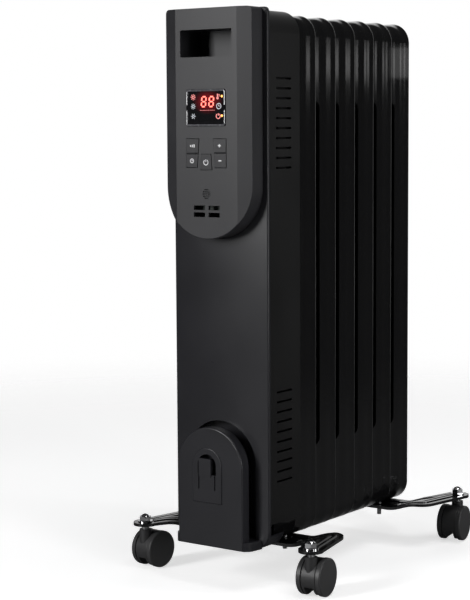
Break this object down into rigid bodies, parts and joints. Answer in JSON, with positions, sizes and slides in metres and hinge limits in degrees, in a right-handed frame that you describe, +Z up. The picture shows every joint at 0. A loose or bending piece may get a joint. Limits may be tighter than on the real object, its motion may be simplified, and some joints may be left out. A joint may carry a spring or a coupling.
{
  "type": "oil filled radiator heater",
  "caption": "Mobile oil filled column heater with a glossy finned body, front control panel with display, cord post and twin-wheel casters on two bowed base plates.",
  "frame": {"origin": "on the floor, under the centre of the heater", "axes": "+X to the right of a person facing the control panel, +Y from the control panel towards the last fin, +Z up"},
  "size_m": [0.2688, 0.3811, 0.64],
  "materials": {
    "cover_plastic": "satin, fine texture",
    "casing_plastic": "satin",
    "panel_plastic": "satin",
    "dark_plastic": "satin",
    "window_glass": "gloss, smoked",
    "button_plastic": "satin",
    "display_module": "satin",
    "board_green": "satin",
    "relay_plastic": "satin",
    "switch_plastic": "matte",
    "fin_enamel": "gloss enamel",
    "base_enamel": "gloss enamel",
    "bright_steel": "bright zinc or chrome plate",
    "zinc_steel": "zinc plated",
    "brass": "machined",
    "shield_aluminium": "rolled sheet",
    "caster_plastic": "matte",
    "wheel_plastic": "matte",
    "inlet_rubber": "matte"
  },
  "bodies": {
    "radiator": {"board_screws": "zinc_steel", "button_switches": "switch_plastic", "buzzer": "switch_plastic", "cap_nuts": "bright_steel", "caster_stems": "zinc_steel", "caster_washers": "bright_steel", "control_board": "board_green", "control_panel": "panel_plastic", "cord_inlet": "inlet_rubber", "cord_post": "cover_plastic", "display_module": "display_module", "display_window": "window_glass", "element_plug": "brass", "fin_1": "fin_enamel", "fin_2": "fin_enamel", "fin_3": "fin_enamel", "fin_4": "fin_enamel", "fin_5": "fin_enamel", "fin_6": "fin_enamel", "fin_7": "fin_enamel", "front_base": "base_enamel", "front_cover": "cover_plastic", "handle_pocket": "dark_plastic", "header_caps": "fin_enamel", "heat_shield": "shield_aluminium", "heating_element": "zinc_steel", "infrared_receiver": "switch_plastic", "lower_collars": "fin_enamel", "power_board": "board_green", "rear_base": "base_enamel", "relays": "relay_plastic", "side_casing": "casing_plastic", "thermal_cutout": "switch_plastic", "tilt_switch": "switch_plastic", "u_bolt_nuts": "bright_steel", "u_bolts": "zinc_steel", "upper_collars": "fin_enamel"},
    "caster_front_right": {"caster_hood_front_right": "caster_plastic", "caster_axle_front_right": "zinc_steel"},
    "wheel_front_right_left": {"caster_wheel_front_right_left": "wheel_plastic"},
    "wheel_front_right_right": {"caster_wheel_front_right_right": "wheel_plastic"},
    "caster_front_left": {"caster_hood_front_left": "caster_plastic", "caster_axle_front_left": "zinc_steel"},
    "wheel_front_left_left": {"caster_wheel_front_left_left": "wheel_plastic"},
    "wheel_front_left_right": {"caster_wheel_front_left_right": "wheel_plastic"},
    "caster_rear_right": {"caster_hood_rear_right": "caster_plastic", "caster_axle_rear_right": "zinc_steel"},
    "wheel_rear_right_left": {"caster_wheel_rear_right_left": "wheel_plastic"},
    "wheel_rear_right_right": {"caster_wheel_rear_right_right": "wheel_plastic"},
    "caster_rear_left": {"caster_hood_rear_left": "caster_plastic", "caster_axle_rear_left": "zinc_steel"},
    "wheel_rear_left_left": {"caster_wheel_rear_left_left": "wheel_plastic"},
    "wheel_rear_left_right": {"caster_wheel_rear_left_right": "wheel_plastic"},
    "button_mode": {"button_mode": "button_plastic"},
    "button_timer": {"button_timer": "button_plastic"},
    "button_power": {"button_power": "button_plastic"},
    "button_plus": {"button_plus": "button_plastic"},
    "button_minus": {"button_minus": "button_plastic"}
  },
  "joints": [
    {"name": "swivel_front_right", "type": "hinge", "parent": "radiator", "child": "caster_front_right", "pos_m": [0.115, -0.1595, 0.036], "axis": [0, 0, 1], "continuous": true},
    {"name": "roll_front_right_left", "type": "hinge", "parent": "caster_front_right", "child": "wheel_front_right_left", "pos_m": [0.11391, -0.14705, 0.0215], "axis": [0.9962, 0.0872, 0], "continuous": true},
    {"name": "roll_front_right_right", "type": "hinge", "parent": "caster_front_right", "child": "wheel_front_right_right", "pos_m": [0.11391, -0.14705, 0.0215], "axis": [0.9962, 0.0872, 0], "continuous": true},
    {"name": "swivel_front_left", "type": "hinge", "parent": "radiator", "child": "caster_front_left", "pos_m": [-0.115, -0.1595, 0.036], "axis": [0, 0, 1], "continuous": true},
    {"name": "roll_front_left_left", "type": "hinge", "parent": "caster_front_left", "child": "wheel_front_left_left", "pos_m": [-0.11391, -0.14705, 0.0215], "axis": [0.9962, -0.0872, 0], "continuous": true},
    {"name": "roll_front_left_right", "type": "hinge", "parent": "caster_front_left", "child": "wheel_front_left_right", "pos_m": [-0.11391, -0.14705, 0.0215], "axis": [0.9962, -0.0872, 0], "continuous": true},
    {"name": "swivel_rear_right", "type": "hinge", "parent": "radiator", "child": "caster_rear_right", "pos_m": [0.115, 0.176, 0.036], "axis": [0, 0, 1], "continuous": true},
    {"name": "roll_rear_right_left", "type": "hinge", "parent": "caster_rear_right", "child": "wheel_rear_right_left", "pos_m": [0.11674, 0.16362, 0.0215], "axis": [-0.9903, -0.1392, 0], "continuous": true},
    {"name": "roll_rear_right_right", "type": "hinge", "parent": "caster_rear_right", "child": "wheel_rear_right_right", "pos_m": [0.11674, 0.16362, 0.0215], "axis": [-0.9903, -0.1392, 0], "continuous": true},
    {"name": "swivel_rear_left", "type": "hinge", "parent": "radiator", "child": "caster_rear_left", "pos_m": [-0.115, 0.176, 0.036], "axis": [0, 0, 1], "continuous": true},
    {"name": "roll_rear_left_left", "type": "hinge", "parent": "caster_rear_left", "child": "wheel_rear_left_left", "pos_m": [-0.11674, 0.16362, 0.0215], "axis": [-0.9903, 0.1392, 0], "continuous": true},
    {"name": "roll_rear_left_right", "type": "hinge", "parent": "caster_rear_left", "child": "wheel_rear_left_right", "pos_m": [-0.11674, 0.16362, 0.0215], "axis": [-0.9903, 0.1392, 0], "continuous": true},
    {"name": "press_mode", "type": "slide", "parent": "radiator", "child": "button_mode", "axis": [0, 1, 0], "range_m": [0, 0.0006], "stiffness_N_per_m": 600, "springref_m": -0.0008},
    {"name": "press_timer", "type": "slide", "parent": "radiator", "child": "button_timer", "axis": [0, 1, 0], "range_m": [0, 0.0006], "stiffness_N_per_m": 600, "springref_m": -0.0008},
    {"name": "press_power", "type": "slide", "parent": "radiator", "child": "button_power", "axis": [0, 1, 0], "range_m": [0, 0.0006], "stiffness_N_per_m": 600, "springref_m": -0.0008},
    {"name": "press_plus", "type": "slide", "parent": "radiator", "child": "button_plus", "axis": [0, 1, 0], "range_m": [0, 0.0006], "stiffness_N_per_m": 600, "springref_m": -0.0008},
    {"name": "press_minus", "type": "slide", "parent": "radiator", "child": "button_minus", "axis": [0, 1, 0], "range_m": [0, 0.0006], "stiffness_N_per_m": 600, "springref_m": -0.0008}
  ]
}
